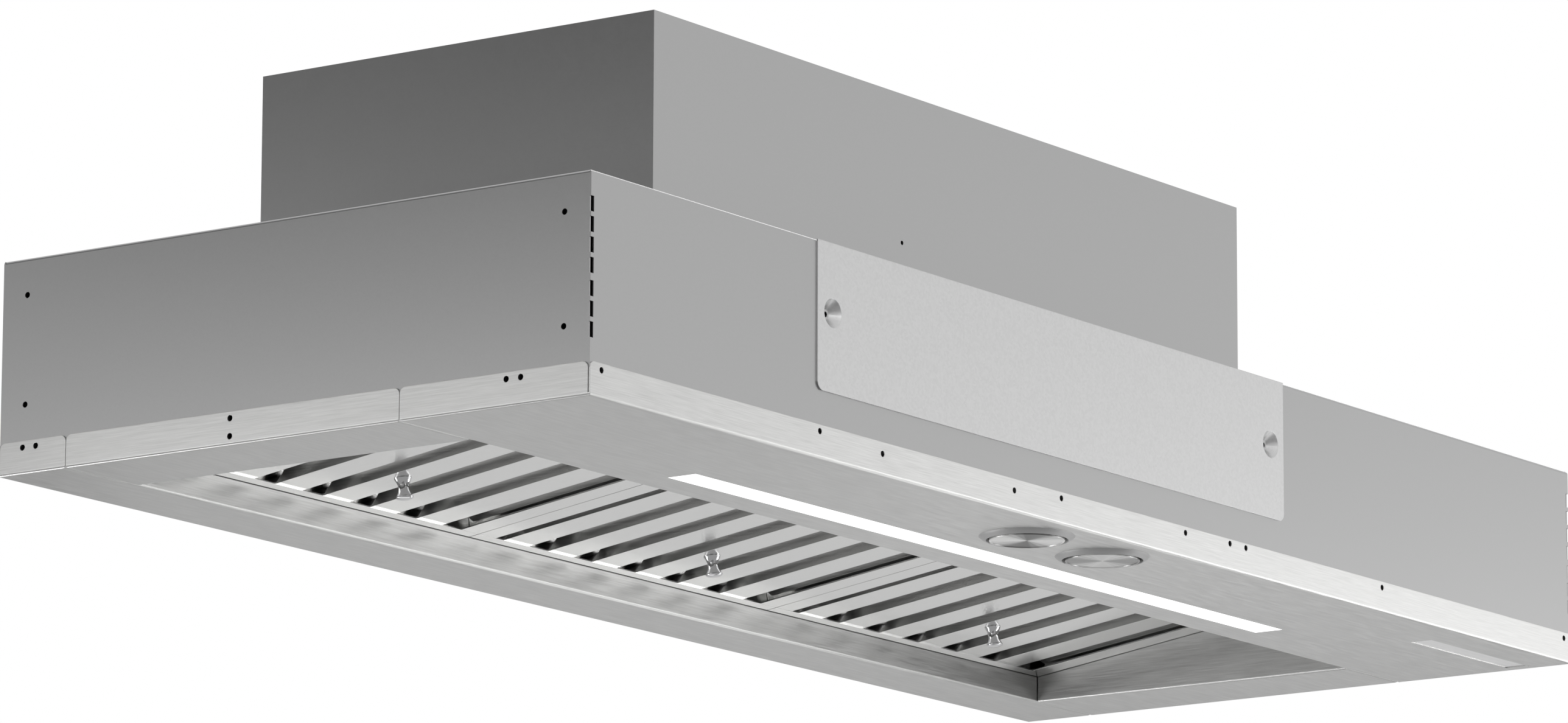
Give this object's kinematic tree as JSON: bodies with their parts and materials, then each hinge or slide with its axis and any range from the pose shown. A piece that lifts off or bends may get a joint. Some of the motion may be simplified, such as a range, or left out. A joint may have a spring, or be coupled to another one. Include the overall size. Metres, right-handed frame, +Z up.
{
  "type": "range hood insert",
  "caption": "Built-in extractor hood insert: bent-sheet underside with hinged baffle filters, lamp strip and pop-out controls, under a low housing and a top blower box with a round damped outlet.",
  "frame": {"origin": "centre of the bounding box's base, level with the rims of the controls", "axes": "+Z up, the front looks along -Y, +X runs along the width; at rest the filters are closed and the controls pushed in"},
  "size_m": [1.178, 0.468, 0.3264],
  "materials": {
    "galvanised_sheet": "galvanised steel sheet with a fine spangle",
    "stainless_trim": "brushed stainless steel sheet",
    "filter_steel": "brushed stainless steel",
    "polished_chrome": "polished chrome",
    "spun_metal": "radially spun metal",
    "frosted_lens": "frosted white plastic",
    "badge": "bare satin plate",
    "black_plastic": "black moulded plastic",
    "circuit_board": "green board",
    "white_board": "white lamp board",
    "motor_paint": "dark painted steel",
    "capacitor_shell": "off-white plastic",
    "steel": "plain zinc-plated steel",
    "damper_plate": "mill-finish sheet"
  },
  "bodies": {
    "hood": {"front_trim": "stainless_trim", "back_trim": "stainless_trim", "left_trim": "stainless_trim", "right_trim": "stainless_trim", "front_panel": "galvanised_sheet", "back_panel": "galvanised_sheet", "left_panel": "galvanised_sheet", "right_panel": "galvanised_sheet", "deck_front": "galvanised_sheet", "deck_back": "galvanised_sheet", "deck_left": "galvanised_sheet", "deck_right": "galvanised_sheet", "box_front": "galvanised_sheet", "box_back": "galvanised_sheet", "box_left": "galvanised_sheet", "box_right": "galvanised_sheet", "box_top": "galvanised_sheet", "box_screws": "steel", "access_cover": "galvanised_sheet", "plenum_wall": "galvanised_sheet", "filter_rail": "galvanised_sheet", "filter_catches": "steel", "lamp_lens": "frosted_lens", "lamp_board": "white_board", "lamp_channel": "galvanised_sheet", "lamp_driver": "black_plastic", "badge_plate": "badge", "left_bezel": "polished_chrome", "right_bezel": "polished_chrome", "left_switch": "black_plastic", "right_switch": "black_plastic", "control_board": "circuit_board", "terminal_box": "galvanised_sheet", "terminal_cover": "galvanised_sheet", "capacitor": "capacitor_shell", "scroll_wrap": "galvanised_sheet", "scroll_cheeks": "galvanised_sheet", "motor": "motor_paint", "motor_bracket": "galvanised_sheet", "duct_collar": "galvanised_sheet", "damper_pin": "steel"},
    "left_filter": {"left_filter_frame": "filter_steel", "left_filter_baffles": "filter_steel", "left_filter_handle": "polished_chrome"},
    "middle_filter": {"middle_filter_frame": "filter_steel", "middle_filter_baffles": "filter_steel", "middle_filter_handle": "polished_chrome"},
    "right_filter": {"right_filter_frame": "filter_steel", "right_filter_baffles": "filter_steel", "right_filter_handle": "polished_chrome"},
    "left_plunger": {"left_plunger": "steel"},
    "right_plunger": {"right_plunger": "steel"},
    "left_control": {"left_knob": "spun_metal"},
    "right_control": {"right_knob": "spun_metal"},
    "blower_wheel": {"motor_shaft": "steel", "impeller": "damper_plate"},
    "damper_front": {"damper_front": "damper_plate"},
    "damper_back": {"damper_back": "damper_plate"}
  },
  "joints": [
    {"name": "left_filter_swing", "type": "hinge", "parent": "hood", "child": "left_filter", "pos_m": [-0.3446, -0.0774, 0.06556], "axis": [-1, 0, 0], "range_deg": [0, 60]},
    {"name": "middle_filter_swing", "type": "hinge", "parent": "hood", "child": "middle_filter", "pos_m": [0, -0.0774, 0.06556], "axis": [-1, 0, 0], "range_deg": [0, 60]},
    {"name": "right_filter_swing", "type": "hinge", "parent": "hood", "child": "right_filter", "pos_m": [0.3446, -0.0774, 0.06556], "axis": [-1, 0, 0], "range_deg": [0, 60]},
    {"name": "left_control_pop", "type": "slide", "parent": "hood", "child": "left_plunger", "axis": [0, 0, -1], "range_m": [0, 0.012]},
    {"name": "left_control_turn", "type": "hinge", "parent": "left_plunger", "child": "left_control", "pos_m": [-0.05125, -0.1915, 0], "axis": [0, 0, -1], "range_deg": [0, 270]},
    {"name": "right_control_pop", "type": "slide", "parent": "hood", "child": "right_plunger", "axis": [0, 0, -1], "range_m": [0, 0.012]},
    {"name": "right_control_turn", "type": "hinge", "parent": "right_plunger", "child": "right_control", "pos_m": [0.03925, -0.1915, 0], "axis": [0, 0, -1], "range_deg": [0, 270]},
    {"name": "blower_spin", "type": "hinge", "parent": "hood", "child": "blower_wheel", "pos_m": [0, 0.03875, 0.1904], "axis": [1, 0, 0], "continuous": true},
    {"name": "damper_front_swing", "type": "hinge", "parent": "hood", "child": "damper_front", "pos_m": [0, 0.05675, 0.3184], "axis": [-1, 0, 0], "range_deg": [0, 80]},
    {"name": "damper_back_swing", "type": "hinge", "parent": "hood", "child": "damper_back", "pos_m": [0, 0.05675, 0.3184], "axis": [1, 0, 0], "range_deg": [0, 80]}
  ],
  "couplings": [
    {"joint": "damper_back_swing", "follows": "damper_front_swing", "ratio": 1}
  ]
}
